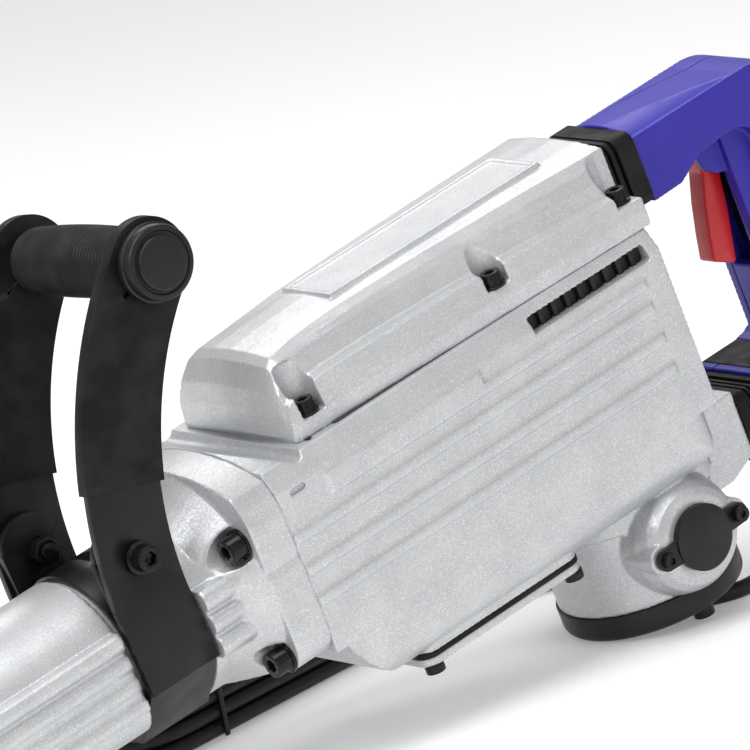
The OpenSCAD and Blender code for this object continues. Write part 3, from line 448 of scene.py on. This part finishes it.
def blue_plastic():
    """Glossy deep blue moulded plastic with a fine moulded texture."""
    s = Shader("blue_plastic", (0.033, 0.023, 0.36), 0.36, 0.0, Specular_IOR_Level=0.35)
    s.link(s.span(s.noise(11, 3), 0.31, 0.42), "Roughness")
    tone = s.ramp(s.noise(30, 2), [(0.3, (0.03, 0.021, 0.34)), (0.7, (0.036, 0.025, 0.38))])
    s.link(tone, "Base Color")
    return s.bump(s.noise(0.7, 2), 0.012).material


def red_plastic():
    """Glossy red moulded plastic of the trigger."""
    s = Shader("red_plastic", (0.6, 0.012, 0.016), 0.3, 0.0, Specular_IOR_Level=0.5)
    s.link(s.span(s.noise(8, 3), 0.24, 0.36), "Roughness")
    return s.bump(s.noise(0.6, 2), 0.01).material


def black_plastic():
    """Satin black moulded plastic."""
    s = Shader("black_plastic", (0.008, 0.008, 0.009), 0.4, 0.0, Specular_IOR_Level=0.35)
    s.link(s.span(s.noise(7, 3), 0.32, 0.48), "Roughness")
    s.link(s.ramp(s.noise(13, 2), [(0.3, 0.006), (0.7, 0.01)]), "Base Color")
    return s.bump(s.noise(0.5, 2), 0.015).material


def steel(name="machined_steel", colour=(0.55, 0.55, 0.56), rough=0.25):
    """Bare metal with fine lines along X, which are turning or grinding marks."""
    s = Shader(name, colour, rough, 1.0)
    s.link(s.span(s.noise(2.5, 3, (6, 1, 1)), rough - 0.07, rough + 0.1), "Roughness")
    return s.bump(s.noise(0.7, 2, (8, 1, 1)), 0.006).material


def sheath():
    """Black flexible sheath of the cord."""
    s = Shader("cord_sheath", (0.007, 0.007, 0.008), 0.42, 0.0, Specular_IOR_Level=0.35)
    s.link(s.span(s.noise(6, 3), 0.36, 0.52), "Roughness")
    return s.bump(s.noise(1.1, 2), 0.02).material


SILVER, PAINT, OXIDE = cast_silver(), black_paint(), black_oxide()
RUBBER, BLUE, RED = rubber(), blue_plastic(), red_plastic()
PLASTIC, STEEL, SHEATH = black_plastic(), steel(), sheath()
BRASS = steel("brass", (0.78, 0.56, 0.24), 0.3)
COPPER = steel("copper", (0.72, 0.36, 0.2), 0.3)
CARBON = rubber("carbon", 0.03, 0.7)
cord.data.materials.append(SHEATH)
ribbed_grip.data.materials.append(RUBBER)
band.data.materials.append(SILVER)
# the black plastic on the slot boxes is painted shade
slot_shade_boxes.data.materials.append(PLASTIC)

LOOKS = {
    "cast_silver": SILVER, "machined_steel": STEEL, "black_steel": PAINT, "oxide_steel": OXIDE,
    "black_rubber": RUBBER, "blue_plastic": BLUE, "red_plastic": RED, "black_plastic": PLASTIC,
    "brass": BRASS, "copper": COPPER, "carbon": CARBON, "cord_sheath": SHEATH}
SLOT_OF = {row["node"]: row["material_slot"] for row in frame["record"]["subparts"]}


# ---------------------------------------------------------------- finishing the CAD nodes
def dress(node, material=None):
    """Gives a CAD node its material, on every slot."""
    piece = NODES[node]
    material = material or LOOKS[SLOT_OF[node]]
    for slot in piece.material_slots:
        slot.material = material
    if not piece.material_slots:
        piece.data.materials.append(material)
    return piece


def smooth_sides(piece, angle=30):
    """Smooth shading that keeps the edges sharper than the angle."""
    bpy.context.view_layer.objects.active = piece
    for other in bpy.context.selected_objects:
        other.select_set(False)
    piece.select_set(True)
    bpy.ops.object.shade_smooth_by_angle(angle=math.radians(angle))
    piece.select_set(False)


def eased(piece, width_mm=0.4, angle=35, segments=2):
    """Slightly rounded edges, as on a moulded or turned piece."""
    weld = piece.modifiers.new("weld", "WELD")
    weld.merge_threshold = 0.00001
    bevel = piece.modifiers.new("bevel", "BEVEL")
    bevel.width = width_mm * MM
    bevel.segments = segments
    bevel.limit_method = "ANGLE"
    bevel.angle_limit = math.radians(angle)
    bevel.use_clamp_overlap = True
    bevel.harden_normals = False
    return piece


def cast(piece, voxel_mm=0.9, rounds=6):
    """Soft casting fillets: the surface is rebuilt on a fine grid and relaxed."""
    remesh = piece.modifiers.new("remesh", "REMESH")
    remesh.mode = "VOXEL"
    remesh.voxel_size = voxel_mm * MM
    remesh.use_smooth_shade = True
    relax = piece.modifiers.new("relax", "SMOOTH")
    relax.factor = 0.5
    relax.iterations = rounds
    return piece


HIDDEN = {"cord", "cord_hank", "cord_tail", "side_grip"}
# Voxel size in millimetres and rounds of relaxing for the cast and moulded shells
CAST = {"gear_case": (0.75, 2), "gear_cover": (0.7, 4), "cylinder_case": (0.8, 3), "front_cover": (0.8, 3),
        "lower_bracket": (0.7, 3), "handle_shell": (0.7, 3), "handle_cover": (0.7, 3)}
# Edge widths in millimetres for pieces that are rounder than the rest
ROUNDED = {"trigger": 1.8, "upper_boot": 0.9, "lower_boot": 0.7}
for name in NODES:
    if name in HIDDEN:
        continue
    piece = dress(name)
    if name in CAST:
        cast(piece, *CAST[name])
    else:
        smooth_sides(piece)
        if name in ROUNDED:
            eased(piece, ROUNDED[name], 25, 4)
        else:
            eased(piece)
smooth_sides(ribbed_grip, 50)

# ---------------------------------------------------------------- floor, world and lights
FLOOR_HALF = 30                   # metres, so that no edge of the floor shows
CORNERS = ((-1, -1), (1, -1), (1, 1), (-1, 1))
floor = mesh_object("floor", [(x * FLOOR_HALF, y * FLOOR_HALF, 0) for x, y in CORNERS], [(0, 1, 2, 3)])
pale = Shader("floor", (0.9, 0.9, 0.9), 0.6, 0.0, Specular_IOR_Level=0.2)
pale.link(pale.ramp(pale.noise(400, 2), [(0.3, 0.88), (0.7, 0.92)]), "Base Color")
pale.bsdf.inputs["Emission Color"].default_value = (1, 1, 1, 1)
pale.bsdf.inputs["Emission Strength"].default_value = 0.22
floor.data.materials.append(pale.material)

world = bpy.data.worlds.new("world")
bpy.context.scene.world = world
world.use_nodes = True
world.node_tree.nodes["Background"].inputs["Color"].default_value = (1, 1, 1, 1)
world.node_tree.nodes["Background"].inputs["Strength"].default_value = 0.42
area_light("top", -60, 74, 1.7, (1.4, 0.8), 17)
area_light("key", -75, 40, 1.8, (1.0, 0.6), 12)
area_light("fill", 20, 20, 2.4, (1.6, 1.0), 4)
area_light("back", 150, 45, 2.0, (1.4, 0.7), 10)
bpy.context.scene.view_settings.view_transform = "Standard"
